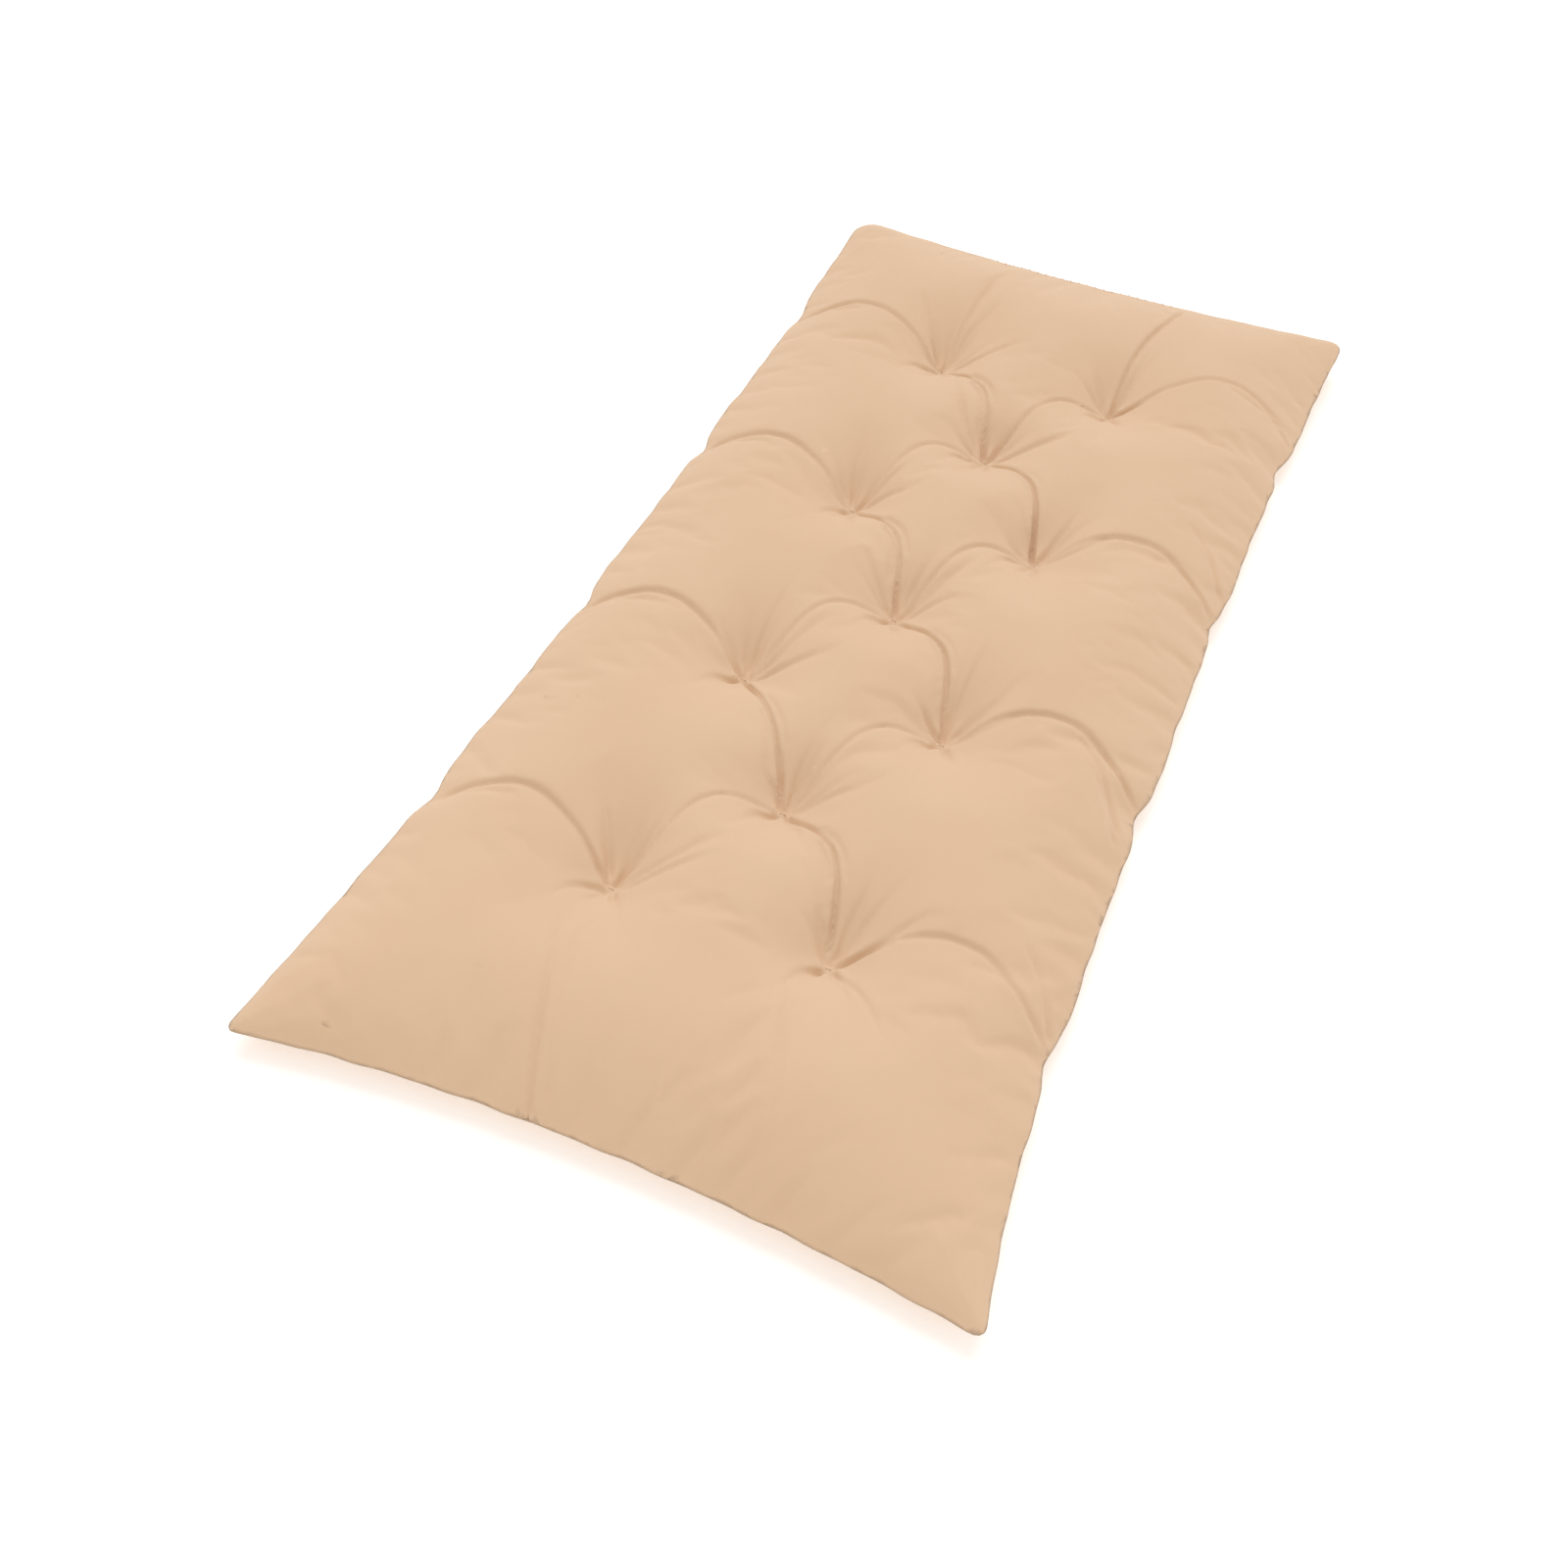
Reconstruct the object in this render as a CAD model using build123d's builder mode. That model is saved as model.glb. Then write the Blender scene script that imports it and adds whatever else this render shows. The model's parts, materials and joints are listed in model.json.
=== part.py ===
from build123d import *
import os
from math import cos, radians, sin, sqrt

# A single futon mattress: three layers of wadding in a sewn two-panel cloth cover, tied down by eleven
# blind tufts, that folds in half about a line across its middle.
# Millimetres. +X across the width, +Y from foot end to head end, +Z up, origin on the floor under the middle.

# ---- driving dimensions ---------------------------------------------------------------------------

width = 900.0  # over the corner tips
length = 1900.0
height = 80.0

# Outline: round corners, with sides that pull in between them
corner_radius = 26.0
corner_growth = 0.6  # how much a corner's radius grows for each mm that the outline steps inwards
side_bow = 34.0  # middle of a long side, inside the line of its corners
end_bow = 24.0  # middle of a short side, inside the line of its corners

# Seam: the pad's weight flattens the underside, so the seam lies below the middle of the height
seam_z = 28.0

# Rolled edge from the seam to the flat of each panel: part of a quarter ellipse
top_roll = 96.0
bottom_roll = 58.0
roll_angle = 72.0
roll_steps = 5

# Cover
cloth = 1.0
seam_allowance = 11.0
stitch_line = 6.0  # from the seam inwards
thread_size = 0.7
opening_width = 330.0  # gap in the head-end seam, closed by hand
closing_stitch_count = 22
closing_loop_radius = 3.0
stitch_hole_radius = 0.8

# Wadding
clearance = 0.2  # between wadding and cover
edge_gap = 14.0  # from the seam to the edge of the wadding
roll_gap = 8.0  # how much further in than the cover's the wadding's rolled edge ends
layer_gap = 0.3
core_top = 56.0
core_bottom = 24.0

# Tufts
column_pitch = 143.0
row_pitch = 198.0
pit_floor = 32.0  # height of the top panel at a tuft
pit_radius = 7.0  # flat floor of a pit
pit_wall = 1.0  # upright wall around that floor
dimple_roof = 8.0  # height of the bottom panel at a tuft
dimple_radius = 9.0
upper_at_tuft = 6.0  # thickness of each layer where a tuft squeezes it
lower_at_tuft = 6.0

# Tuft twine
twine_radius = 0.75
leg_spacing = 8.0
leg_hole_radius = 1.1
knot_radius = 2.2
tail_reach = 9.0
tail_drop = 1.6

# Fold
fold_y = 4.0  # just behind the middle row of tufts
fold_gap = 0.5

# ---- derived dimensions ---------------------------------------------------------------------------

tufts = {
    "left": [(-column_pitch, k * row_pitch) for k in (-3, -1, 1, 3)],
    "middle": [(0, k * row_pitch) for k in (-2, 0, 2)],
    "right": [(column_pitch, k * row_pitch) for k in (-3, -1, 1, 3)],
}
tuft_points = [point for line in tufts.values() for point in line]
leg_points = [(x + side * leg_spacing / 2, y) for x, y in tuft_points for side in (-1, 1)]
closing_pitch = opening_width / closing_stitch_count
closing_xs = [(i + 0.5) * closing_pitch - opening_width / 2 for i in range(closing_stitch_count)]

os.makedirs("parts", exist_ok=True)


# ---- outline and envelopes ------------------------------------------------------------------------


def tangent_sum(half_span, bow):
    """Radius of a bowed side's circle plus the radius of the corner circles that it touches."""
    return (half_span**2 + bow**2) / (2 * bow)


def end_edge_y(x, inset=0.0):
    """Y of the head-end outline at x, for an outline stepped in by inset."""
    corner = corner_radius + corner_growth * inset
    bow_radius = tangent_sum(width / 2 - inset - corner, end_bow) - corner
    return length / 2 - inset - end_bow + bow_radius - sqrt(bow_radius**2 - x**2)


def trace_outline(inset):
    """Draw the outline, stepped in by inset, as eight tangent arcs in the current BuildLine."""
    corner = corner_radius + corner_growth * inset
    half_x, half_y = width / 2 - inset, length / 2 - inset
    side_sum = tangent_sum(half_y - corner, side_bow)
    end_sum = tangent_sum(half_x - corner, end_bow)
    centre = Vector(half_x - corner, half_y - corner)
    to_side = Vector(side_sum - side_bow, corner - half_y) / side_sum
    to_end = Vector(corner - half_x, end_sum - end_bow) / end_sum
    on_side = centre + to_side * corner
    on_end = centre + to_end * corner
    tip = centre + (to_side + to_end).normalized() * corner
    for sx, sy in ((1, 1), (-1, 1), (-1, -1), (1, -1)):
        corner_points = [(sx * point.X, sy * point.Y) for point in (on_side, tip, on_end)]
        ThreePointArc(*corner_points)
    for sign in (1, -1):
        side_x, end_y = sign * on_side.X, sign * on_end.Y
        ThreePointArc((side_x, -on_side.Y), (sign * (half_x - side_bow), 0), (side_x, on_side.Y))
        ThreePointArc((-on_end.X, end_y), (0, sign * (half_y - end_bow)), (on_end.X, end_y))


def half_envelope(rise, seam_inset, rim_inset):
    """Solid from the seam plane to a flat face at seam_z + rise, with a rolled edge."""
    with BuildPart() as envelope:
        for step in range(roll_steps + 1):
            angle = radians(roll_angle * step / roll_steps)
            run = (1 - cos(angle)) / (1 - cos(radians(roll_angle)))
            lift = rise * sin(angle) / sin(radians(roll_angle))
            with BuildSketch(Plane.XY.offset(seam_z + lift)):
                with BuildLine():
                    trace_outline(seam_inset + run * (rim_inset - seam_inset))
                make_face()
        loft()
    return envelope.part


# ---- tuft pits ------------------------------------------------------------------------------------


def pit(floor_radius, roll_radius, floor_z, roll_z, direction):
    """Trumpet-shaped solid of one pit: a flat floor, an upright wall and a quarter-round mouth.

    direction is 1 for a pit that opens upwards and -1 for a dimple that opens downwards.
    """
    mouth_z = roll_z + direction * roll_radius
    diagonal = roll_radius / sqrt(2)
    ring = floor_radius + roll_radius
    with BuildPart() as trumpet:
        with BuildSketch(Plane.XZ):
            with BuildLine():
                wall_top, mouth = (floor_radius, roll_z), (ring, mouth_z)
                Polyline(mouth, (0, mouth_z), (0, floor_z), (floor_radius, floor_z), wall_top)
                ThreePointArc(wall_top, (ring - diagonal, roll_z + direction * diagonal), mouth)
            make_face()
        revolve(axis=Axis.Z)
    return trumpet.part


def pit_below(surface_z, floor_z, floor_radius, growth):
    """Pit that runs from a flat at surface_z down to floor_z, enlarged all round by growth."""
    roll_z = floor_z + pit_wall
    roll_radius = (surface_z - roll_z) / sin(radians(80))
    return pit(floor_radius + growth, roll_radius - growth, floor_z - growth, roll_z, 1)


def dimple_above(growth):
    """Shallow dimple in the underside, enlarged all round by growth."""
    roll_z = dimple_roof - pit_wall
    roll_radius = roll_z / sin(radians(80))
    return pit(dimple_radius + growth, roll_radius - growth, dimple_roof + growth, roll_z, -1)


core_pit_floor = pit_floor - cloth - upper_at_tuft
lower_pit_floor = dimple_roof + cloth + lower_at_tuft


def top_pit(growth):
    return pit_below(height, pit_floor, pit_radius, growth)


def core_pit(growth):
    return pit_below(core_top, core_pit_floor, pit_radius + cloth, growth)


def lower_pit(growth):
    return pit_below(core_bottom, lower_pit_floor, pit_radius + cloth, growth)


# ---- cover panels ---------------------------------------------------------------------------------


def cover_panel(rise, roll_width, outer_pit, inner_pit):
    """One cover panel: a thin dished shell with tuft pits and a flat seam allowance along its edge."""
    direction = 1 if rise > 0 else -1
    outside = half_envelope(rise, 0, roll_width)
    cavity = half_envelope(rise - direction * cloth, cloth, roll_width + 0.3 * cloth)
    with BuildPart() as hollow:
        add(cavity)
        with Locations(*tuft_points):
            add(inner_pit, mode=Mode.SUBTRACT)
    with BuildPart() as panel:
        add(outside)
        with Locations(*tuft_points):
            add(outer_pit, mode=Mode.SUBTRACT)
        add(hollow.part, mode=Mode.SUBTRACT)
        with BuildSketch(Plane.XY.offset(seam_z)):
            with BuildLine():
                trace_outline(cloth / 2)
            make_face()
            with BuildLine():
                trace_outline(seam_allowance)
            make_face(mode=Mode.SUBTRACT)
        extrude(amount=direction * cloth)
        with Locations(*leg_points):
            Hole(leg_hole_radius)
        for x in closing_xs:
            edge_y = end_edge_y(x)
            with Locations((x, edge_y - closing_loop_radius, seam_z)):
                Cylinder(stitch_hole_radius, 4 * cloth, mode=Mode.SUBTRACT)
            with Locations((x, edge_y, seam_z + direction * closing_loop_radius)):
                Cylinder(stitch_hole_radius, 4 * cloth, rotation=(90, 0, 0), mode=Mode.SUBTRACT)
    return panel.part


def seam_thread(low_z):
    """One thread of the lock stitch: a run along the stitch line, open at the hand-closed gap."""
    with BuildPart() as thread:
        with BuildSketch(Plane.XY.offset(low_z)):
            with BuildLine():
                trace_outline(stitch_line - thread_size / 2)
            make_face()
            with BuildLine():
                trace_outline(stitch_line + thread_size / 2)
            make_face(mode=Mode.SUBTRACT)
            with Locations((0, length / 2)):
                Rectangle(opening_width, 4 * end_bow, mode=Mode.SUBTRACT)
        extrude(amount=thread_size)
    return thread.part


def closing_stitches():
    """Loops of thread that whip the two panels together along the gap in the head-end seam."""
    with BuildPart() as loops:
        for x in closing_xs:
            with Locations((x, end_edge_y(x), seam_z)):
                Torus(closing_loop_radius, thread_size / 2, rotation=(0, 90, 0))
    return loops.part


# ---- wadding --------------------------------------------------------------------------------------


def batt_block():
    """All three layers of wadding as one block, before the tufts squeeze it."""
    with BuildPart() as block:
        add(half_envelope(height - seam_z - cloth - clearance, edge_gap, top_roll + roll_gap))
        add(half_envelope(cloth + clearance - seam_z, edge_gap, bottom_roll + roll_gap))
    return block.part


def batt_layer(block, low_z, high_z, plug, cutters):
    """One layer of the block between two heights, with plugs into the layer below and pits from above."""
    with BuildPart() as layer:
        add(block)
        split(bisect_by=Plane.XY.offset(low_z), keep=Keep.TOP)
        split(bisect_by=Plane.XY.offset(high_z), keep=Keep.BOTTOM)
        if plug is not None:
            with Locations(*tuft_points):
                add(plug)
        for cutter in cutters:
            with Locations(*tuft_points):
                add(cutter, mode=Mode.SUBTRACT)
        with Locations(*leg_points):
            Hole(leg_hole_radius)
    return layer.part


# ---- tuft ties ------------------------------------------------------------------------------------


def tuft_tie():
    """A loop of twine through the pad at the origin, with a knot and two cut tails underneath."""
    top_z = pit_floor + twine_radius + clearance
    low_z = dimple_roof - twine_radius - clearance
    knot_z = low_z - 0.9 * knot_radius
    half = leg_spacing / 2
    with BuildPart() as tie:
        with BuildLine(Plane.XZ) as loop:
            loop_corners = ((half, top_z), (half, low_z), (-half, low_z), (-half, top_z))
            FilletPolyline(*loop_corners, radius=2 * twine_radius, close=True)
        path = loop.wire()
        with BuildSketch(Plane(origin=path @ 0, z_dir=path % 0)):
            Circle(twine_radius)
        sweep(path=path)
        with Locations((0, 0, knot_z)):
            Sphere(knot_radius, rotation=(0, 0, 90))
        for side in (-1, 1):
            with BuildLine(Plane.XZ) as tail:
                Line((0, knot_z), (side * tail_reach, knot_z - tail_drop))
            with BuildSketch(Plane(origin=tail.line @ 0, z_dir=tail.line % 0)):
                Circle(twine_radius)
            sweep(path=tail.line)
    return tie.part


# ---- assembly -------------------------------------------------------------------------------------


def export_piece(piece, name):
    piece.label = name
    export_step(piece, f"parts/{name}.step")


def export_halves(whole, name):
    """Cut a piece along the fold line and export the half that lies on each side of it."""
    for side, edge_y, keep in (
        ("foot", fold_y - fold_gap / 2, Keep.BOTTOM),
        ("head", fold_y + fold_gap / 2, Keep.TOP),
    ):
        with BuildPart() as half:
            add(whole)
            split(bisect_by=Plane(origin=(0, edge_y, 0), z_dir=(0, 1, 0)), keep=keep)
        export_piece(half.part, f"{name}_{side}")


export_halves(cover_panel(height - seam_z, top_roll, top_pit(0), top_pit(cloth)), "top_panel")
export_halves(cover_panel(-seam_z, bottom_roll, dimple_above(0), dimple_above(cloth)), "bottom_panel")
export_halves(seam_thread(seam_z + cloth), "needle_thread")
export_halves(seam_thread(seam_z - cloth - thread_size), "bobbin_thread")
export_piece(closing_stitches(), "closing_stitches")

wadding = batt_block()
half_gap = layer_gap / 2
under_cloth = cloth + clearance
upper_batt = batt_layer(wadding, core_top + half_gap, height, core_pit(-half_gap), [top_pit(under_cloth)])
core_heights = (core_bottom + half_gap, core_top - half_gap)
core_batt = batt_layer(wadding, *core_heights, lower_pit(-half_gap), [core_pit(half_gap)])
lower_cutters = [lower_pit(half_gap), dimple_above(under_cloth)]
lower_batt = batt_layer(wadding, 0, core_bottom - half_gap, None, lower_cutters)
export_halves(upper_batt, "upper_batt")
export_halves(core_batt, "core_batt")
export_halves(lower_batt, "lower_batt")

tie = tuft_tie()
for line, points in tufts.items():
    for number, point in enumerate(points, start=1):
        with BuildPart() as placed_tie:
            with Locations(point):
                add(tie)
        export_piece(placed_tie.part, f"tuft_tie_{line}_{number}")
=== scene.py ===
"""Futon mattress: a tufted pad of three wadding layers in a sewn two-panel cloth cover.

Metres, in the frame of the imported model: +X across, +Y from foot end to head end, +Z up.
"""

import json
import logging
import math
from dataclasses import dataclass, field
from enum import Enum

import bpy
import numpy as np
from mathutils import Matrix, Vector


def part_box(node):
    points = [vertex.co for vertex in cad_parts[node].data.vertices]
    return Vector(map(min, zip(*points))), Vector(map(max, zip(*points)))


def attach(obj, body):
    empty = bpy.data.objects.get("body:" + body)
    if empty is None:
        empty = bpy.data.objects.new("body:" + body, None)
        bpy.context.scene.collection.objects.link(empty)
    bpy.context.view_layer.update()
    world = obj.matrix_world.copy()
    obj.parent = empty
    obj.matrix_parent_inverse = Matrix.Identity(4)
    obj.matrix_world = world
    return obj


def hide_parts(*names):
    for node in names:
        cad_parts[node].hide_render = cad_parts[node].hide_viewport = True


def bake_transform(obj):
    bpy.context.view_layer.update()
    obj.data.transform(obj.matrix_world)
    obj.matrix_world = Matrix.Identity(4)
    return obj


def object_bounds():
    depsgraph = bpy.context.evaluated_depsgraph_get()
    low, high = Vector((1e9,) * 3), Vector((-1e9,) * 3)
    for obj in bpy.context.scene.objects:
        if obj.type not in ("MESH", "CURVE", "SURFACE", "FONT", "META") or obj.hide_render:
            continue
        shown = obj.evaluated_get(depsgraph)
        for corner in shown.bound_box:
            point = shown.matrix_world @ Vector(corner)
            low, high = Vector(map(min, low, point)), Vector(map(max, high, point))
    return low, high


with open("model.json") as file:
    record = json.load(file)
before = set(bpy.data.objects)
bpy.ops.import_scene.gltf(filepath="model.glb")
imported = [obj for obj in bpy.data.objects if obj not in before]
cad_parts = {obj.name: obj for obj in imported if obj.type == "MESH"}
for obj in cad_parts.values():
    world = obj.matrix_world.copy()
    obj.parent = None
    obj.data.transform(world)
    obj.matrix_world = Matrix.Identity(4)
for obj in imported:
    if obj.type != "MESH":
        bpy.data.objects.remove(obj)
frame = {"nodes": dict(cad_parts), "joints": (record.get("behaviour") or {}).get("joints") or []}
CAD_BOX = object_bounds()
LOG = logging.getLogger("futon")

FOOT, HEAD = "foot_half", "head_half"
FOLD_LINE = Vector(frame["joints"][0]["pos_m"])
FOLD_REACH = 0.125  # ties nearer than this to the fold line are attached to neither half
TIE_NODES = sorted(name for name in frame["nodes"] if name.startswith("tuft_tie"))
SAME_PLACE = 0.01  # places nearer than this, in metres, count as one row or column

PRESS_DEPTHS = {"top_panel": 0.0036, "bottom_panel": 0.0012}
ALLOWANCE_STEPS = (0.35, 1.0)  # rows of points across the turned-in allowance
PLEATS = (  # the fan at a tuft: degrees from the way to the head end, and length
    (-56, 0.080), (-36, 0.105), (-20, 0.130), (-6, 0.150), (7, 0.165), (20, 0.150), (34, 0.115),
    (150, 0.070), (205, 0.060),
)
CLOTH_SETTINGS = {
    "vertex_group_mass": "held",
    "pin_stiffness": 1.0,
    "vertex_group_shrink": "taut",
    "shrink_max": 0.0,
    "use_pressure": True,
    "mass": 0.1,
    "quality": 5,
    "tension_stiffness": 20,
    "compression_stiffness": 20,
    "shear_stiffness": 8,
    "bending_stiffness": 0.25,
    "tension_damping": 5,
    "compression_damping": 5,
    "shear_damping": 5,
    "bending_damping": 0.5,
    "air_damping": 2.0,
}

# ---- small tools ----------------------------------------------------------------------------------


def smoothstep(value: np.ndarray, low: float, high: float) -> np.ndarray:
    """Ease from 0 at low to 1 at high."""
    t = np.clip((value - low) / (high - low), 0.0, 1.0)
    return t * t * (3 - 2 * t)


def bell(value: np.ndarray, width: float) -> np.ndarray:
    """A smooth hump, 1 at zero and nearly 0 at twice the width."""
    return np.exp(-((value / width) ** 2))


def deselect_all() -> None:
    """Leave nothing selected, so that an operator acts only on what is chosen next."""
    for obj in bpy.context.selected_objects:
        obj.select_set(False)


def make_active(obj: bpy.types.Object) -> None:
    """Select one object alone and make it the active one."""
    deselect_all()
    obj.select_set(True)
    bpy.context.view_layer.objects.active = obj


def new_object(name: str, mesh: bpy.types.Mesh) -> bpy.types.Object:
    """Put a mesh into the scene as a named object at the origin."""
    obj = bpy.data.objects.new(name, mesh)
    bpy.context.scene.collection.objects.link(obj)
    return obj


def mesh_from(name: str, points: np.ndarray, faces: list) -> bpy.types.Object:
    """Make a smooth-shaded object from points and faces.

    Args:
        name: The piece's name.
        points: One row of three numbers for each vertex.
        faces: Vertex numbers of each face.

    Returns:
        The new object.
    """
    mesh = bpy.data.meshes.new(name)
    mesh.from_pydata(points.tolist(), [], faces)
    mesh.update()
    mesh.shade_smooth()
    return new_object(name, mesh)


def read_points(mesh: bpy.types.Mesh, key: str = "co") -> np.ndarray:
    """A mesh's vertex positions, or its normals, as rows of three numbers."""
    flat = np.empty(len(mesh.vertices) * 3, np.float32)
    mesh.vertices.foreach_get(key, flat)
    return flat.reshape(-1, 3).astype(float)


def lay_flat(mesh: bpy.types.Mesh, flat: np.ndarray) -> None:
    """Give a mesh the UV map of its flat cut, from one place for each vertex."""
    corners = np.empty(len(mesh.loops), np.int32)
    mesh.loops.foreach_get("vertex_index", corners)
    layer = mesh.uv_layers.new(name="cut")
    layer.data.foreach_set("uv", flat[corners].astype(np.float32).ravel())


def write_points(mesh: bpy.types.Mesh, points: np.ndarray) -> None:
    """Move a mesh's vertices to the given positions."""
    mesh.vertices.foreach_set("co", points.astype(np.float32).ravel())
    mesh.update()


def mark(obj: bpy.types.Object, name: str, weights: np.ndarray) -> None:
    """Add a vertex group with one weight for each vertex; those at 0 are left out."""
    group = obj.vertex_groups.new(name=name)
    for level in np.unique(weights[weights > 0]):
        group.add([int(i) for i in np.nonzero(weights == level)[0]], float(level), "REPLACE")


def finish_with(obj: bpy.types.Object, kind: str, **settings: object) -> None:
    """Add a modifier, set it and apply it.

    Args:
        obj: The object to change.
        kind: The modifier's type.
        settings: Values of the modifier's properties.
    """
    make_active(obj)
    modifier = obj.modifiers.new(kind.title(), kind)
    for key, value in settings.items():
        setattr(modifier, key, value)
    bpy.ops.object.modifier_apply(modifier=modifier.name)


def tube(name: str, lines: list, radius: float, closed: bool = False) -> bpy.types.Object:
    """Make round thread along one or more lines of points.

    Args:
        name: The piece's name.
        lines: Arrays of points, one for each length of thread.
        radius: The thread's radius.
        closed: Whether each line joins its own start.

    Returns:
        A mesh object.
    """
    curve = bpy.data.curves.new(name, "CURVE")
    curve.dimensions = "3D"
    curve.bevel_depth = radius
    curve.bevel_resolution = 1
    curve.use_fill_caps = not closed
    for line in lines:
        spline = curve.splines.new("POLY")
        spline.points.add(len(line) - 1)
        spline.points.foreach_set("co", np.column_stack([line, np.ones(len(line))]).ravel())
        spline.use_cyclic_u = closed
    draft = bpy.data.objects.new(name + "_line", curve)
    bpy.context.scene.collection.objects.link(draft)
    bpy.context.view_layer.update()
    mesh = bpy.data.meshes.new_from_object(draft)
    bpy.data.objects.remove(draft)
    mesh.shade_smooth()
    return new_object(name, mesh)


# ---- shader maths ---------------------------------------------------------------------------------


class Wire:
    """One output in a material, with the operators that add Math nodes."""

    def __init__(self, bench: "Bench", socket: bpy.types.NodeSocket) -> None:
        """Wrap a node's output."""
        self.bench = bench
        self.socket = socket

    def maths(self, operation: str, *values: object) -> "Wire":
        """Add a Math node on this wire and further values."""
        inputs = dict(enumerate((self, *values)))
        return self.bench.node("ShaderNodeMath", {"operation": operation}, inputs, "Value")

    def __add__(self, other: object) -> "Wire":
        """Sum."""
        return self.maths("ADD", other)

    def __mul__(self, other: object) -> "Wire":
        """Product."""
        return self.maths("MULTIPLY", other)

    __radd__ = __add__
    __rmul__ = __mul__


class Bench:
    """Builds one material: its shader and the nodes that feed it."""

    def __init__(self, name: str) -> None:
        """Start a material with a bare Principled shader."""
        self.material = bpy.data.materials.new(name)
        self.material.use_nodes = True
        self.tree = self.material.node_tree
        self.shader = self.tree.nodes["Principled BSDF"]

    def node(self, kind: str, settings: dict, inputs: dict, output: str) -> Wire:
        """Add a node.

        Args:
            kind: The node's type.
            settings: Properties, set before the sockets; "stops" fills a colour ramp.
            inputs: Values or wires, by socket name or number.
            output: Name of the output to hand back.

        Returns:
            The chosen output as a wire.
        """
        made = self.tree.nodes.new(kind)
        for key, value in settings.items():
            if key == "stops":
                self.set_stops(made.color_ramp, value)
            else:
                setattr(made, key, value)
        for key, value in inputs.items():
            self.feed(made.inputs[key], value)
        return Wire(self, made.outputs[output])

    @staticmethod
    def set_stops(ramp: bpy.types.ColorRamp, stops: list) -> None:
        """Give a ramp its stops, each a place and a grey level."""
        while len(ramp.elements) < len(stops):
            ramp.elements.new(1.0)
        for element, (place, level) in zip(ramp.elements, stops):
            element.position = place
            element.color = (level, level, level, 1.0)

    def feed(self, socket: bpy.types.NodeSocket, value: object) -> None:
        """Link a wire to a socket, or set the socket's own value."""
        if isinstance(value, Wire):
            self.tree.links.new(value.socket, socket)
        else:
            socket.default_value = value

    def dress(self, **values: object) -> None:
        """Set or link the shader's sockets, named with _ for a space."""
        for key, value in values.items():
            self.feed(self.shader.inputs[key.replace("_", " ")], value)

    def noise(self, vector: Wire, scale: float, detail: float = 2.0) -> Wire:
        """Noise from 0 to 1 about a half."""
        inputs = {"Vector": vector, "Scale": scale, "Detail": detail}
        return self.node("ShaderNodeTexNoise", {}, inputs, "Fac")

    def stretched(self, vector: Wire, scale: tuple) -> Wire:
        """A vector scaled differently along each axis."""
        return self.node("ShaderNodeMapping", {}, {"Vector": vector, "Scale": scale}, "Vector")

    def tint(self, factor: Wire, first: tuple, second: tuple) -> Wire:
        """A colour between two others."""
        inputs = {"Factor": factor, "A": (*first, 1.0), "B": (*second, 1.0)}
        made = self.tree.nodes.new("ShaderNodeMix")
        made.data_type = "RGBA"
        for key, value in inputs.items():
            socket = next(s for s in made.inputs if s.name == key and s.enabled)
            self.feed(socket, value)
        return Wire(self, next(s for s in made.outputs if s.enabled))

    def bump(self, height: Wire, strength: float, distance: float) -> Wire:
        """A normal from a height."""
        inputs = {"Height": height, "Strength": strength, "Distance": distance}
        return self.node("ShaderNodeBump", {}, inputs, "Normal")


@dataclass(frozen=True)
class ClothFinish:
    """Fine plain-woven cotton, matt, with faint slubs and a soft bloom."""

    colour: tuple = (0.750, 0.538, 0.364)
    deep_colour: tuple = (0.718, 0.502, 0.332)
    thread_pitch: float = 0.0006
    weave_depth: float = 0.00012
    roughness: float = 0.86
    sheen: float = 0.12

    def material(self) -> bpy.types.Material:
        """Build the finish on the piece's flat cut, so that the weave follows the cloth."""
        bench = Bench("cover_cloth")
        cut = bench.node("ShaderNodeUVMap", {"uv_map": "cut"}, {}, "UV")
        axes = {name: bench.node("ShaderNodeSeparateXYZ", {}, {"Vector": cut}, name) for name in "XY"}
        turn = 2 * math.pi / self.thread_pitch
        warp = (axes["X"] * turn).maths("SINE")
        weft = (axes["Y"] * turn).maths("SINE")
        weft_slub = bench.noise(bench.stretched(cut, (55.0, 900.0, 1.0)), 1.0, 3.0)
        warp_slub = bench.noise(bench.stretched(cut, (900.0, 55.0, 1.0)), 1.0, 3.0)
        slub = (weft_slub + warp_slub) * 0.5
        cloud = bench.noise(cut, 5.0, 3.0)
        tone = bench.node(
            "ShaderNodeValToRGB",
            {"stops": [(0.30, 0.0), (0.70, 1.0)]},
            {"Fac": slub * 0.45 + cloud * 0.55},
            "Color",
        )
        height = warp * weft * 0.5 + slub * 1.6
        bench.dress(
            Base_Color=bench.tint(tone, self.colour, self.deep_colour),
            Roughness=slub * 0.10 + (self.roughness - 0.05),
            Normal=bench.bump(height, 0.35, self.weave_depth),
            Sheen_Weight=self.sheen,
            Sheen_Roughness=0.5,
            Specular_IOR_Level=0.25,
        )
        return bench.material


@dataclass(frozen=True)
class YarnFinish:
    """Spun thread or twine: fine fibres over a plain colour."""

    name: str
    colour: tuple
    deep_colour: tuple
    fibre_scale: float = 2600.0

    def material(self) -> bpy.types.Material:
        """Build the finish on object coordinates."""
        bench = Bench(self.name)
        place = bench.node("ShaderNodeTexCoord", {}, {}, "Object")
        fibre = bench.noise(place, self.fibre_scale, 4.0)
        bench.dress(
            Base_Color=bench.tint(fibre, self.colour, self.deep_colour),
            Roughness=fibre * 0.15 + 0.70,
            Normal=bench.bump(fibre, 0.4, 0.00015),
            Sheen_Weight=0.1,
            Specular_IOR_Level=0.3,
        )
        return bench.material


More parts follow.
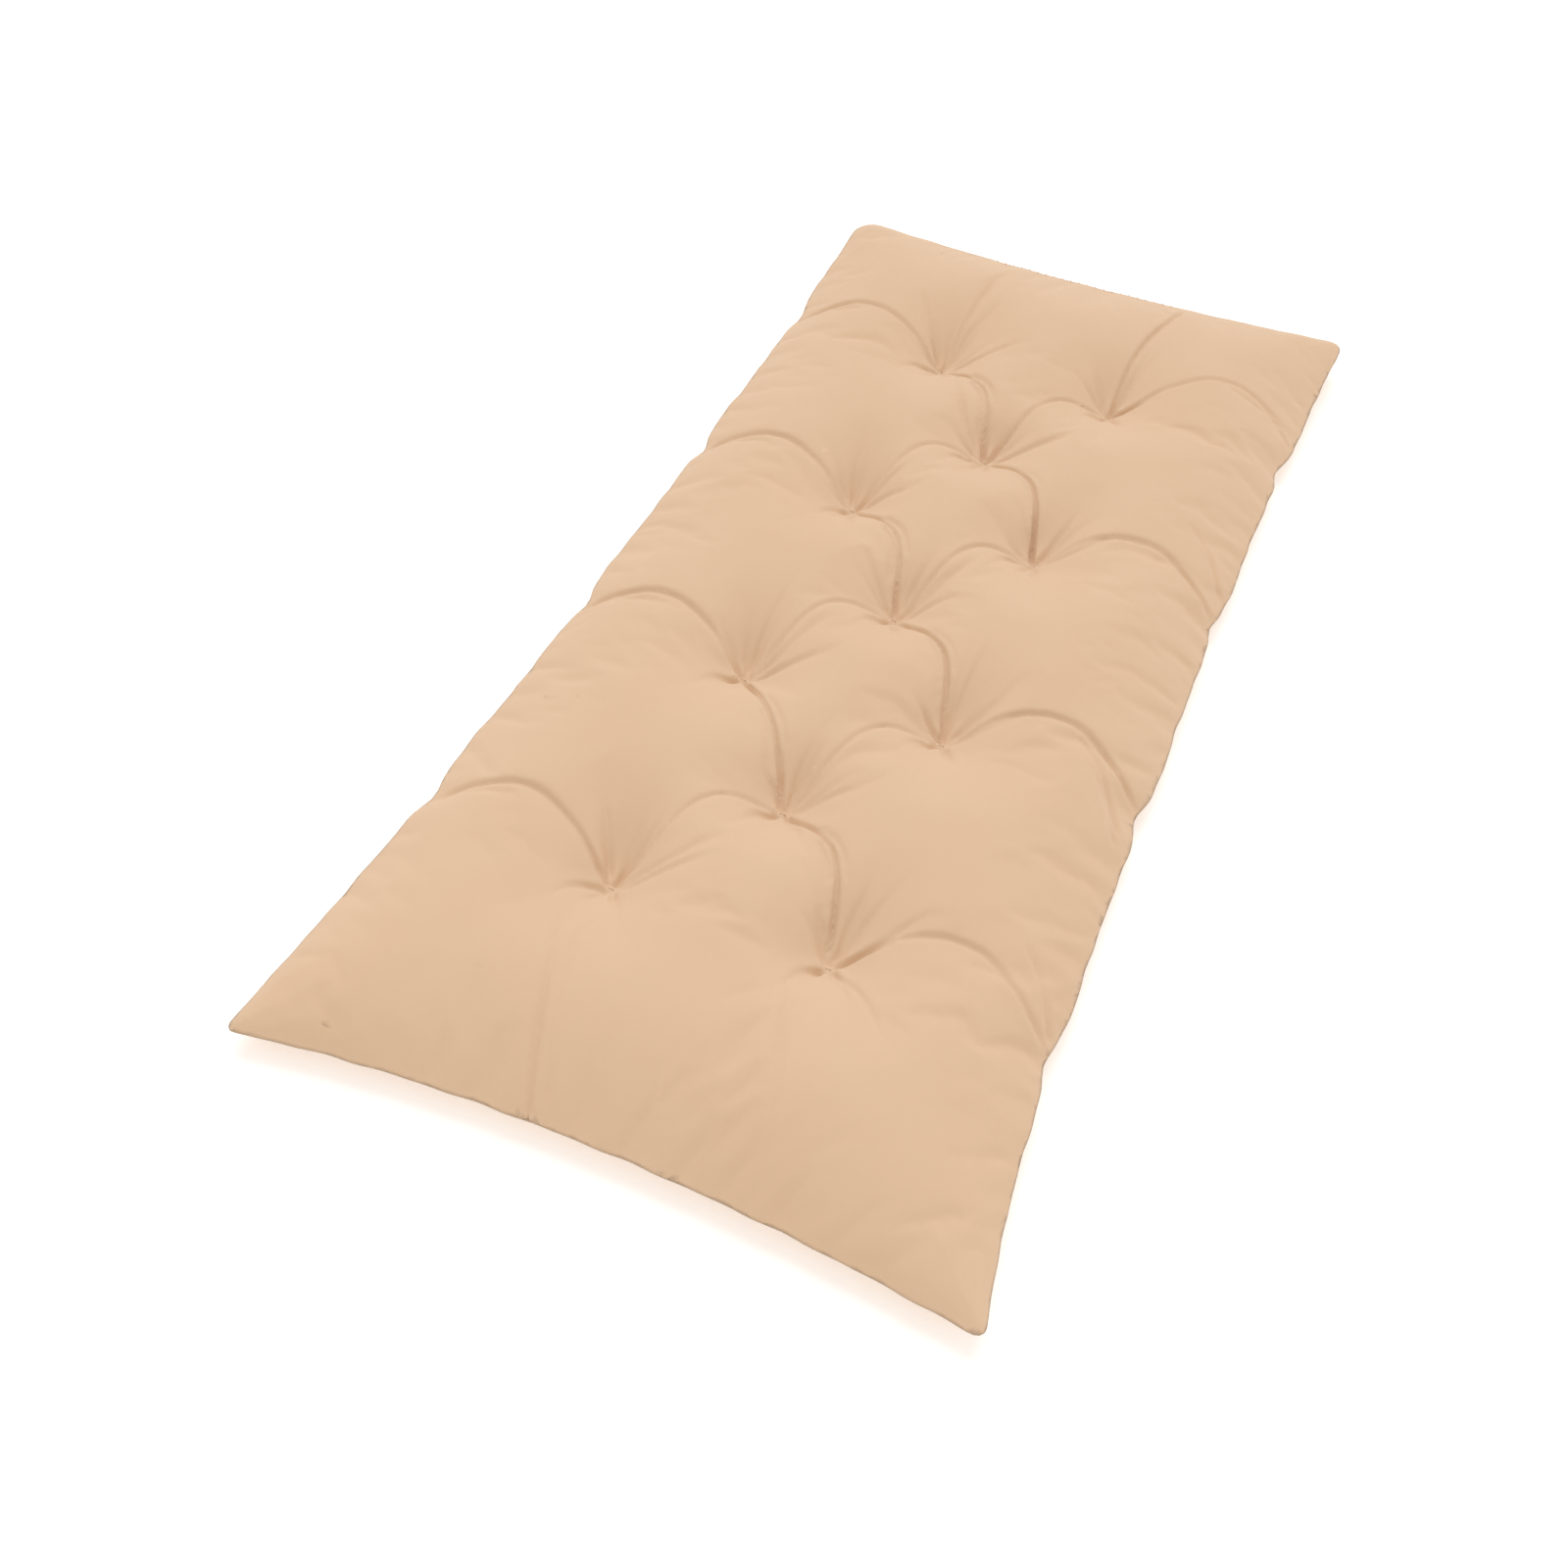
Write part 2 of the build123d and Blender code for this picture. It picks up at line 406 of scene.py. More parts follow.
@dataclass(frozen=True)
class WaddingFinish:
    """Carded cotton and polyester fibre: tangled, dull and almost white."""

    name: str
    colour: tuple
    deep_colour: tuple
    tangle: float = 140.0

    def material(self) -> bpy.types.Material:
        """Build the finish on object coordinates."""
        bench = Bench(self.name)
        place = bench.node("ShaderNodeTexCoord", {}, {}, "Object")
        strands = bench.noise(bench.stretched(place, (1.0, 0.35, 1.6)), self.tangle, 6.0)
        flecks = bench.noise(place, 14.0, 3.0)
        bench.dress(
            Base_Color=bench.tint(strands * 0.6 + flecks * 0.4, self.colour, self.deep_colour),
            Roughness=strands * 0.08 + 0.88,
            Normal=bench.bump(strands, 0.6, 0.0012),
            Sheen_Weight=0.2,
            Specular_IOR_Level=0.2,
        )
        return bench.material


# ---- plan of the pad ------------------------------------------------------------------------------


@dataclass(frozen=True)
class Outline:
    """Plan of the pad: sides and ends that pull in between rounded corners.

    Pairs give the left side and then the right side.
    """

    half_width: float
    half_length: float
    side_bow: tuple = (0.036, 0.030)  # how far the middle of each side is inside the half width
    foot_spread: tuple = (0.036, 0.041)  # how far each side runs out again to the foot corners
    foot_power: tuple = (2.5, 5.5)
    head_spread: tuple = (0.010, 0.032)
    head_power: tuple = (2.0, 2.5)
    foot_bow: float = 0.034
    head_bow: float = 0.024
    foot_corners: tuple = (0.016, 0.020)  # corner radii
    head_corners: tuple = (0.046, 0.030)
    foot_point: float = 0.006  # how much further the left foot corner reaches
    head_reach: float = 0.006  # how much further the whole head end reaches

    def place(self, u: np.ndarray, v: np.ndarray) -> tuple:
        """Carry the square from -1 to 1 onto the plan.

        Args:
            u: Share of the half width.
            v: Share of the half length.

        Returns:
            X and Y of each point.
        """
        foot, head = np.clip(-v, 0, 1), np.clip(v, 0, 1)
        reach = []
        for side in range(2):
            spread = self.foot_spread[side] * foot ** self.foot_power[side]
            spread = spread + self.head_spread[side] * head ** self.head_power[side]
            reach.append(self.half_width - self.side_bow[side] + spread)
        share = 0.5 + 0.5 * np.sin(np.clip(u, -1, 1) * math.pi / 2)
        x = u * (reach[0] + (reach[1] - reach[0]) * share)
        bow = np.where(v < 0, self.foot_bow, self.head_bow)
        y = v * (self.half_length - bow * (1 - u * u))
        y = y + self.head_reach * head**4 - self.foot_point * foot**4 * np.clip(-u, 0, 1) ** 4
        for end, radii in ((-1, self.foot_corners), (1, self.head_corners)):
            for side, radius in zip((-1, 1), radii):
                across = np.clip(1 - (1 - u * side) * self.half_width / radius, 0, 1)
                along = np.clip(1 - (1 - v * end) * self.half_length / radius, 0, 1)
                x = x - side * radius * across * (1 - np.sqrt(1 - along**2 / 2))
                y = y - end * radius * along * (1 - np.sqrt(1 - across**2 / 2))
        return x, y


@dataclass(frozen=True)
class Crease:
    """A line along which the cloth is pulled in, through a few points of the plan."""

    points: tuple
    depth: float = 1.0  # share of its family's depth
    start: float = 1.0  # strength at its first point
    end: float = 1.0  # strength at its last point
    middle: float = 1.0  # share of the strength that is left half way

    def line(self, steps: int = 10) -> np.ndarray:
        """Points along a smooth line through the crease's own points."""
        knots = np.array(self.points, float)
        knots = np.vstack([2 * knots[0] - knots[1], knots, 2 * knots[-1] - knots[-2]])
        run = []
        for a, b, c, d in zip(knots, knots[1:], knots[2:], knots[3:]):
            for t in np.arange(steps) / steps:
                bend = (2 * a - 5 * b + 4 * c - d) * t * t + (3 * b - a - 3 * c + d) * t**3
                run.append(0.5 * (2 * b + (c - a) * t + bend))
        return np.array(run + [knots[-2]])

    def profile(self, x: np.ndarray, y: np.ndarray, reach: float) -> tuple:
        """How near each point is to the crease.

        Args:
            x: X of the points.
            y: Y of the points.
            reach: Distance past which a point is left alone.

        Returns:
            The numbers of the points in reach, their signed distance and the strength there.
        """
        line = self.line()
        low, high = line.min(0) - reach, line.max(0) + reach
        near = np.nonzero((x > low[0]) & (x < high[0]) & (y > low[1]) & (y < high[1]))[0]
        best = np.full(len(near), 9.0)
        sign = np.ones(len(near))
        along = np.zeros(len(near))
        px, py = x[near], y[near]
        count = len(line) - 1
        for number, (a, b) in enumerate(zip(line[:-1], line[1:])):
            run = b - a
            dx, dy = px - a[0], py - a[1]
            t = np.clip((dx * run[0] + dy * run[1]) / max(run @ run, 1e-12), 0, 1)
            gap = np.hypot(dx - t * run[0], dy - t * run[1])
            closer = gap < best
            best = np.where(closer, gap, best)
            sign = np.where(closer, np.sign(run[0] * dy - run[1] * dx), sign)
            along = np.where(closer, (number + t) / count, along)
        strength = self.depth * (self.start + (self.end - self.start) * along)
        strength = strength * (1 - (1 - self.middle) * np.sin(math.pi * np.clip(along, 0, 1)) ** 2)
        strength = strength * smoothstep(along, -0.02, 0.05) * (1 - smoothstep(along, 0.90, 1.02))
        inside = best < reach
        return near[inside], (best * sign)[inside], strength[inside]


@dataclass(frozen=True)
class Family:
    """Creases of one kind, as they start in the unsettled cloth and as they are pressed in after it."""

    creases: list
    seed_width: float
    seed_depth: float
    press_width: float
    press_share: float


@dataclass
class CreasePlan:
    """Where the tufts and the seam pull the cover into creases."""

    tufts: list
    column: float = field(init=False)
    row: float = field(init=False)

    def __post_init__(self) -> None:
        """Find the pitch of the tufts across and along."""
        self.column = max(x for x, _ in self.tufts)
        self.row = min(y for x, y in self.tufts if x > 0 and y > 0)

    def between_tufts(self, uphill: bool) -> list:
        """Creases from each tuft to its neighbours in the next column.

        Args:
            uphill: Whether to follow the neighbours nearer the head end, or those nearer the foot end.

        Returns:
            Arched creases uphill, or steeper ones with a shoulder downhill.
        """
        made = []
        for x, y in self.tufts:
            for far_x, far_y in self.tufts:
                if abs(far_x - x - self.column) > SAME_PLACE or abs(abs(far_y - y) - self.row) > SAME_PLACE:
                    continue
                if uphill is not (far_y > y):
                    continue
                if uphill:
                    middle = ((x + far_x) / 2 - 0.016, (y + far_y) / 2 + 0.062)
                    depth = 0.90 + 0.15 * math.sin(31 * x + 17 * y)
                    made.append(Crease(((x, y), middle, (far_x, far_y)), depth, 1.0, 0.8, 0.8))
                else:
                    shoulder = 0.35 if x < 0 and y < 0 else 1.0
                    middle = ((x + far_x) / 2 + 0.020 * shoulder, (y + far_y) / 2 + 0.042 * shoulder)
                    made.append(Crease(((x, y), middle, (far_x, far_y)), 1.2, 0.9, 1.0))
        return made

    def to_sides(self) -> list:
        """Arched creases from the outer tufts to the long sides, with a second strand at the seam."""
        made = []
        for x, y in self.tufts:
            if abs(x) < SAME_PLACE:
                continue
            side = math.copysign(1.0, x)
            lifts = (0.050, 0.078, 0.036) if side < 0 else (0.060, 0.070, 0.0)
            if side > 0 and y > 0.5:
                lifts = (0.075, 0.120, 0.085)
            reach = (0.075, 0.165, 0.268)
            points = [(x, y)] + [(x + side * r, y + h) for r, h in zip(reach, lifts)]
            depth = 0.72 + 0.16 * math.sin(7.3 * y + 2 * side)
            made.append(Crease(tuple(points), depth, 1.0, 1.0, 0.7))
            strand = [(px, py - 0.016) for px, py in points[2:]]
            strand[-1] = (points[-1][0], points[-1][1] - 0.004)
            strand.insert(1, ((strand[0][0] + strand[1][0]) / 2, strand[0][1] - 0.012))
            made.append(Crease(tuple(strand), 0.5, 0.2, 1.0))
        return made

    def lips(self) -> list:
        """The S-shaped line at each tuft where the pad on the foot side swells over the pit."""
        made = []
        for number, (x, y) in enumerate(self.tufts):
            sway = 1 + 0.25 * math.sin(2.3 * number + 0.6)
            hook = ((-0.046, -0.066), (-0.030, -0.026), (0.0, -0.004))
            shape = (*hook, (0.042, 0.030), (0.088, 0.066 * sway))
            made.append(Crease(tuple((x + dx * sway, y + dy) for dx, dy in shape), 1.0, 0.20, 0.25, 3.6))
        return made

    def strands(self) -> list:
        """Short wrinkles beside the middle of the creases that run down from tuft to tuft."""
        made = []
        for number, crease in enumerate(self.between_tufts(uphill=False)):
            line = crease.line()
            for offset, first, last in ((0.010, 5, 14), (-0.009, 8, 17)):
                part = line[first:last:4] + np.array([offset, 0.35 * offset])
                depth = 0.5 + 0.2 * math.sin(number)
                made.append(Crease(tuple(tuple(p) for p in part), depth, 1.0, 0.6))
        return made

    def puckers(self, outline: Outline) -> list:
        """Small gathers square to the long seams."""
        made = []
        for side in (-1, 1):
            for number in range(41):
                v = -0.92 + 0.046 * number + 0.012 * math.sin(5.1 * number + side)
                edge_x, edge_y = (float(c) for c in outline.place(np.float64(side), np.float64(v)))
                reach = 0.034 + 0.020 * math.sin(3.7 * number + 2 * side)
                slant = 0.25 * reach * math.sin(1.7 * number)
                points = (
                    (edge_x - side * 0.007, edge_y),
                    (edge_x - side * reach * 0.55, edge_y + slant * 0.4),
                    (edge_x - side * reach, edge_y + slant),
                )
                made.append(Crease(points, 0.55 + 0.25 * math.sin(2.9 * number), 1.0, 0.0))
        return made

    def fans(self) -> list:
        """Short pleats that spread from each tuft, most of them towards the head end."""
        made = []
        for number, (x, y) in enumerate(self.tufts):
            for spoke, (turn, reach) in enumerate(PLEATS):
                sway = math.sin(1.9 * number + 2.3 * spoke)
                angle = math.radians(turn + 7 * sway)
                length = reach * (1 + 0.22 * math.sin(2.7 * number + 1.3 * spoke))
                way = np.array([math.sin(angle), math.cos(angle)])
                cross = np.array([way[1], -way[0]]) * 0.006 * sway
                start = np.array([x, y]) + way * 0.006
                points = (start, start + way * length * 0.5 + cross, start + way * length)
                made.append(Crease(tuple(tuple(p) for p in points), 0.75, 1.0, 0.0))
        return made

    def to_ends(self) -> list:
        """Long soft creases between the outermost tufts and the two ends."""
        column, top = self.column, 3 * self.row
        return [
            Crease(
                ((column, top), (column + 0.004, top + 0.15), (column + 0.045, top + 0.33)), 1.0, 0.8, 0.8
            ),
            Crease(((-column, top), (-0.190, top + 0.08), (-0.235, top + 0.15)), 0.8, 1.0, 0.1),
            Crease(((-column, top), (-0.140, top + 0.13), (-0.130, top + 0.26)), 0.8, 1.0, 0.1),
            Crease(((0.0, 2 * self.row), (-0.050, 0.450), (-0.100, 0.545)), 0.6, 1.0, 0.1),
            Crease(((-0.160, -0.690), (-0.118, -0.815), (-0.078, -0.925)), 0.8, 0.2, 0.7),
            Crease(((-0.135, -0.700), (-0.098, -0.820), (-0.066, -0.900)), 0.5, 0.2, 0.5),
            Crease(((0.112, -0.645), (0.145, -0.745), (0.180, -0.850)), 0.7, 0.4, 0.2),
            Crease(((column, -top), (0.198, -0.632), (0.250, -0.690)), 0.9, 1.0, 0.1),
        ]

    def side_folds(self) -> list:
        """A few slanting folds that run down to the right side between the tufts."""
        return [
            Crease(((0.300, -0.130), (0.350, -0.180), (0.404, -0.262)), 1.0, 0.1, 1.0),
            Crease(((0.320, -0.165), (0.362, -0.210), (0.402, -0.278)), 0.5, 0.1, 1.0),
            Crease(((0.330, 0.350), (0.372, 0.310), (0.412, 0.240)), 0.8, 0.1, 1.0),
            Crease(((0.345, 0.700), (0.390, 0.680), (0.432, 0.640)), 0.6, 0.1, 1.0),
            Crease(((0.330, -0.470), (0.378, -0.520), (0.415, -0.590)), 0.6, 0.1, 1.0),
        ]

    def families(self, outline: Outline) -> list:
        """Every crease of the top panel, sorted by kind.

        Args:
            outline: Plan of the pad, for the gathers at its seam.

        Returns:
            The families: fine arcs, deeper falls, short pleats, lips and puckers.
        """
        arcs = self.between_tufts(uphill=True) + self.to_sides()
        falls = self.between_tufts(uphill=False) + self.to_ends() + self.side_folds()
        return [
            Family(arcs, 0.0060, 0.0020, 0.0028, 1.0),
            Family(falls, 0.0060, 0.0034, 0.0025, 1.2),
            Family(self.fans() + self.strands(), 0.0070, 0.0065, 0.0030, 1.1),
            Family(self.lips(), 0.0070, 0.0060, 0.0032, 1.1),
            Family(self.puckers(outline), 0.0100, 0.0024, 0.0045, 0.30),
        ]


class PanelSide(Enum):
    """The two cut panels of the cover; the value is the way that each faces along Z."""

    TOP = 1
    BOTTOM = -1


# ---- the cover ------------------------------------------------------------------------------------


@dataclass
class Cover:
    """The sewn cover: two panels, drawn together at their edge and pulled in at the tufts."""

    outline: Outline
    plan: CreasePlan
    cell: float = 0.007  # spacing of the cloth's points while it settles
    seam_z: float = 0.028
    head_lift: float = 0.016  # how much higher the seam lies along the head end
    head_tuck: float = 0.035  # how much shorter the roll is there
    crown_z: float = 0.064
    roll: float = 0.115  # from the seam to the full height of the top panel
    underside_roll: float = 0.060
    pit_z: float = 0.033
    pit_reach: float = 0.048  # a pit's slope towards the foot end and the sides
    pit_stretch: float = 1.7  # how much longer its slope is towards the head end
    notch_shift: tuple = (0.045, -0.015)  # from a tuft's row to its notch in the left and the right seam
    notch: tuple = (0.008, 0.026)  # depth and width
    swell: tuple = (0.0030, 0.05)  # height and width of the bulge between notches
    swell_shift: float = 0.1
    ripple: float = 0.0006  # small waves along the seam
    wedge_depth: float = 0.014  # a softer hollow that opens from each pit towards the head end
    wedge_reach: float = 0.050
    wedge_spread: tuple = (0.022, 0.30)  # half width at the tuft, and how fast it opens
    dimple_z: float = 0.008
    dimple_reach: float = 0.024
    edge_bulge: float = 0.004  # how far the underside's rolled edge stands out past its outline
    lip_height: float = 0.34  # of the welts beside a pressed crease, as a share of its depth
    lip_place: float = 2.6  # their distance from the crease, in crease widths
    lip_width: float = 1.7
    cloth: float = 0.0010
    allowance: float = 0.011
    fold_in: float = 0.0003  # half of the gap between the panels at the seam
    growth: float = 0.012  # extra cloth that goes into the creases
    taut_corner: float = 0.20  # reach of the corners, where the cloth has nothing to spare
    pressure: float = 1.6
    settle_frames: int = 20
    most_triangles: int = 96000
    fold_spare: float = 0.095  # how far each side of the fold line the mesh keeps all its points
    settled: dict = field(default_factory=dict)

    def __post_init__(self) -> None:
        """Lay out the net of points that both panels share."""
        self.columns = 2 * round(self.outline.half_width / self.cell)
        self.rows = 2 * round(self.outline.half_length / self.cell)
        across = np.linspace(-1, 1, self.columns + 1)
        along = np.linspace(-1, 1, self.rows + 1)
        self.u, self.v = np.meshgrid(across, along)
        self.x, self.y = self.outline.place(self.u, self.v)
        self.inset = np.minimum(
            self.outline.half_width * (1 - abs(self.u)), self.outline.half_length * (1 - abs(self.v))
        )
        self.on_edge = self.inset < 1e-6
        self.notch_sides()
        head = smoothstep(self.v, 0.70, 1.0)
        self.seam = self.seam_z + self.head_lift * head
        self.edge_roll = self.roll - self.head_tuck * head

    def notch_sides(self) -> None:
        """Draw the seam in a little where each long crease runs out to it."""
        fade = 1 - smoothstep(self.inset, 0.0, 0.09)
        (depth, width), (height, spread) = self.notch, self.swell
        for x, y in self.plan.tufts:
            if abs(x) > SAME_PLACE:
                side = math.copysign(1.0, x)
                away = self.y - (y + self.notch_shift[0 if side < 0 else 1])
                pull = depth * bell(away, width) - height * bell(away - self.swell_shift, spread)
                self.x -= side * pull * fade * smoothstep(side * self.u, 0.0, 0.6)
        wave = np.sin(self.y * 71 + 0.7) + 0.7 * np.sin(self.y * 117 + 2.1) + 0.5 * np.sin(self.y * 43)
        edge = smoothstep(abs(self.u), 0.75, 1.0) * (1 - abs(self.v) ** 14)
        self.x += np.sign(self.u) * self.ripple * wave * edge
        wave = np.sin(self.x * 67 + 1.9) + 0.8 * np.sin(self.x * 103 + 0.4)
        edge = smoothstep(abs(self.v), 0.88, 1.0) * (1 - abs(self.u) ** 14)
        self.y += np.sign(self.v) * self.ripple * wave * edge

    def start_shape(self) -> np.ndarray:
        """The top panel before it settles: a crowned pad with pits and shallow valleys."""
        lift = np.sin(np.clip(self.inset / self.edge_roll, 0, 1) * math.pi / 2)
        z = self.seam + (self.crown_z - self.seam) * lift
        for x, y in self.plan.tufts:
            away = self.y - y
            away = np.where(away > 0, away / self.pit_stretch, away)
            z -= (z - self.pit_z) * bell(np.hypot(self.x - x, away), self.pit_reach)
        valley = np.zeros(z.size)
        for family in self.plan.families(self.outline):
            width = family.seed_width
            for crease in family.creases:
                near, gap, strength = crease.profile(self.x.ravel(), self.y.ravel(), 3 * width)
                valley[near] = np.maximum(valley[near], family.seed_depth * strength * bell(gap, width))
        z -= valley.reshape(z.shape) * smoothstep(self.inset, 0.0, 0.03)
        return np.stack([self.x, self.y, z], -1)

    def net(self, name: str) -> bpy.types.Object:
        """A flat grid with the panel's points, row by row from the foot end."""
        deselect_all()
        bpy.ops.mesh.primitive_grid_add(x_subdivisions=self.columns, y_subdivisions=self.rows, size=2)
        obj = bpy.context.object
        obj.name = obj.data.name = name
        return obj

    def settle(self) -> np.ndarray:
        """Let the top panel's cloth take its shape under the push of the wadding.

        Returns:
            The settled points, in rows.
        """
        start = self.start_shape()
        held = self.on_edge.copy()
        for x, y in self.plan.tufts:
            spot = np.unravel_index(np.argmin(np.hypot(self.x - x, self.y - y)), held.shape)
            start[spot] = (x, y, self.pit_z)
            held[spot] = True
        obj = self.net("settling_cloth")
        write_points(obj.data, start.reshape(-1, 3))
        mark(obj, "held", held.ravel().astype(float))
        corner = np.hypot(
            (1 - abs(self.u)) * self.outline.half_width, (1 - abs(self.v)) * self.outline.half_length
        )
        mark(obj, "taut", np.round(bell(corner, self.taut_corner).ravel(), 1))
        modifier = obj.modifiers.new("Cloth", "CLOTH")
        cloth = modifier.settings
        for key, value in CLOTH_SETTINGS.items():
            setattr(cloth, key, value)
        cloth.shrink_min = -self.growth
        cloth.uniform_pressure_force = self.pressure
        cloth.effector_weights.gravity = 0.0
        modifier.collision_settings.use_collision = False
        modifier.collision_settings.use_self_collision = False
        scene = bpy.context.scene
        modifier.point_cache.frame_start = 1
        modifier.point_cache.frame_end = self.settle_frames + 1
        for step in range(1, self.settle_frames + 1):
            scene.frame_set(step)
        shaped = obj.evaluated_get(bpy.context.evaluated_depsgraph_get()).to_mesh()
        points = read_points(shaped).reshape(start.shape)
        bpy.data.objects.remove(obj)
        scene.frame_set(1)
        return self.hollow(points)

    def hollow(self, points: np.ndarray) -> np.ndarray:
        """Sink a wedge into the panel on the head side of each tuft."""
        for x, y in self.plan.tufts:
            share = 0.8 if x > SAME_PLACE else 1.0
            ahead = np.maximum(self.y - y, 0.0) / self.wedge_reach
            spread = self.wedge_spread[0] + self.wedge_spread[1] * self.wedge_reach * ahead
            depth = self.wedge_depth * ahead * np.exp(1 - ahead) * bell(self.x - x, spread)
            points[..., 2] -= share * depth * smoothstep(self.inset, 0.0, 0.06)
        return points

    def underside(self, seam: np.ndarray) -> np.ndarray:
        """The bottom panel: flat on the floor, with a rolled edge up to the seam.

        Args:
            seam: The settled top panel, whose edge the bottom panel shares.

        Returns:
            The bottom panel's points, in rows.
        """
        turn = np.clip(1 - self.inset / self.underside_roll, 0, 1)
        round_roll = 1 - np.sqrt(1 - np.minimum(turn, 0.999) ** 2)
        foot = 1 - smoothstep(self.v, -1.0, -0.85)
        z = self.seam * (round_roll + (turn**2 - round_roll) * foot)
        for x, y in self.plan.tufts:
            z += self.dimple_z * bell(np.hypot(self.x - x, self.y - y), self.dimple_reach)
        bulge = self.edge_bulge * np.sin(np.clip(self.inset / 0.05, 0, 1) * math.pi)
        x = self.x + np.sign(self.u) * bulge * (abs(self.u) ** 6)
        y = self.y + np.maximum(np.sign(self.v), 0) * bulge * (abs(self.v) ** 12)
        points = np.stack([x, y, z], -1)
        points[self.on_edge] = seam[self.on_edge]
        return points

    def panel(self, side: PanelSide, name: str, points: np.ndarray, depth: float) -> bpy.types.Object:
        """Finish one panel: smooth it, press in its creases, turn in its edge and give it thickness.

        Args:
            side: Which panel it is.
            name: The piece's name.
            points: The settled points, in rows.
            depth: Depth of the pressed creases.

        Returns:
            The panel.
        """
        obj = self.net(name)
        write_points(obj.data, points.reshape(-1, 3))
        if side is PanelSide.BOTTOM:
            obj.data.flip_normals()
        for layer in list(obj.data.uv_layers):
            obj.data.uv_layers.remove(layer)
        spread = np.stack([self.u * self.outline.half_width, self.v * self.outline.half_length], -1)
        lay_flat(obj.data, spread.reshape(-1, 2))
        finish_with(obj, "SUBSURF", levels=1, render_levels=1, boundary_smooth="ALL")
        self.press_creases(obj.data, side, depth)
        self.turn_in_edge(obj, side)
        obj.data.shade_smooth()
        triangles = sum(len(p.vertices) - 2 for p in obj.data.polygons)
        self.spare_the_fold(obj, side)
        finish_with(
            obj,
            "DECIMATE",
            ratio=min(1.0, self.most_triangles / triangles),
            use_collapse_triangulate=True,
            vertex_group="thin_out",
        )
        obj.vertex_groups.clear()
        finish_with(obj, "SOLIDIFY", thickness=self.cloth, offset=-1, thickness_clamp=1.0)
        obj.data.shade_smooth()
        return obj

    def spare_the_fold(self, obj: bpy.types.Object, side: PanelSide) -> None:
        """Mark where the mesh may lose points: none near the fold, and evenly on the flat underside."""
        free = abs(read_points(obj.data)[:, 1] - FOLD_LINE.y) > self.fold_spare
        mark(obj, "thin_out", free * (1.0 if side is PanelSide.TOP else 0.5))

    def press_creases(self, mesh: bpy.types.Mesh, side: PanelSide, depth: float) -> None:
        """Sharpen the creases along their lines, and seat the cloth at the tufts."""
        points = read_points(mesh)
        normals = read_points(mesh, "normal")
        x, y = points[:, 0].copy(), points[:, 1].copy()
        push = np.zeros(len(points))
        for family in self.plan.families(self.outline):
            width = family.press_width
            for crease in family.creases:
                near, gap, strength = crease.profile(x, y, 6 * width)
                valley = np.where(gap > 0, bell(gap, width * 1.5), bell(gap, width))
                lip = self.lip_height * bell(abs(gap) - self.lip_place * width, self.lip_width * width)
                push[near] += depth * family.press_share * strength * (lip - valley)
        edge = np.zeros(len(points), bool)
        edge[self.rim_of(mesh)] = True
        push[edge] = 0.0
        points += normals * push[:, None]
        if side is PanelSide.TOP:
            for tx, ty in self.plan.tufts:
                near = 1 - smoothstep(np.hypot(x - tx, y - ty), 0.002, 0.009)
                points[:, 2] += (self.pit_z - points[:, 2]) * near
        else:
            points[:, 2] = np.where(edge, points[:, 2], np.maximum(points[:, 2], 0.0))
        write_points(mesh, points)

    @staticmethod
    def rim_of(mesh: bpy.types.Mesh) -> np.ndarray:
        """Numbers of the vertices round the panel's edge, in order."""
        uses = {}
        for polygon in mesh.polygons:
            for key in polygon.edge_keys:
                uses[key] = uses.get(key, 0) + 1
        follow = {}
        for (a, b), count in uses.items():
            if count == 1:
                follow.setdefault(a, []).append(b)
                follow.setdefault(b, []).append(a)
        start = min(follow)
        order, last = [start], None
        while True:
            ahead = [n for n in follow[order[-1]] if n != last]
            last = order[-1]
            if ahead[0] == start or (len(order) > 1 and start in ahead):
                break
            order.append(ahead[0])
        return np.array(order)

    def turn_in_edge(self, obj: bpy.types.Object, side: PanelSide) -> None:
        """Turn the seam allowance in along the panel's edge."""
        mesh = obj.data
        rim = self.rim_of(mesh)
        points = read_points(mesh)
        loop = points[rim]
        ahead, behind = np.roll(loop, -1, 0), np.roll(loop, 1, 0)
        run = (ahead - behind)[:, :2]
        run /= np.linalg.norm(run, axis=1)[:, None]
        inward = np.stack([-run[:, 1], run[:, 0]], -1)
        area = np.sum(loop[:, 0] * ahead[:, 1] - ahead[:, 0] * loop[:, 1])
        inward *= math.copysign(1.0, area)
        loop[:, 2] += side.value * self.fold_in
        points[rim] = loop
        count = len(points)
        strips, rings = [], [rim]
        for step in ALLOWANCE_STEPS:
            strip = loop.copy()
            strip[:, :2] += inward * (step * self.allowance)
            strips.append(strip)
            rings.append(np.arange(len(rim)) + count + len(rim) * (len(strips) - 1))
        faces = []
        turn = np.roll(np.arange(len(rim)), -1)
        flip = (area > 0) == (side is PanelSide.TOP)
        for outer, inner in zip(rings, rings[1:]):
            for here, there in zip(range(len(rim)), turn):
                face = [outer[here], outer[there], inner[there], inner[here]]
                faces.append([int(i) for i in (face[::-1] if flip else face)])
        uv = {}
        layer = mesh.uv_layers["cut"].data
        for item in mesh.loops:
            uv[item.vertex_index] = layer[item.index].uv.copy()
        all_faces = [list(p.vertices) for p in mesh.polygons] + faces
        grown = bpy.data.meshes.new(mesh.name)
        grown.from_pydata(np.vstack([points, *strips]).tolist(), [], all_faces)
        grown.update()
        flat = np.zeros((len(grown.vertices), 2), np.float32)
        for number, place in uv.items():
            flat[number] = place
        for step, ring in zip(ALLOWANCE_STEPS, rings[1:]):
            flat[ring] = flat[rim] * (1 + step * self.allowance)
        lay_flat(grown, flat)
        name = mesh.name
        obj.data = grown
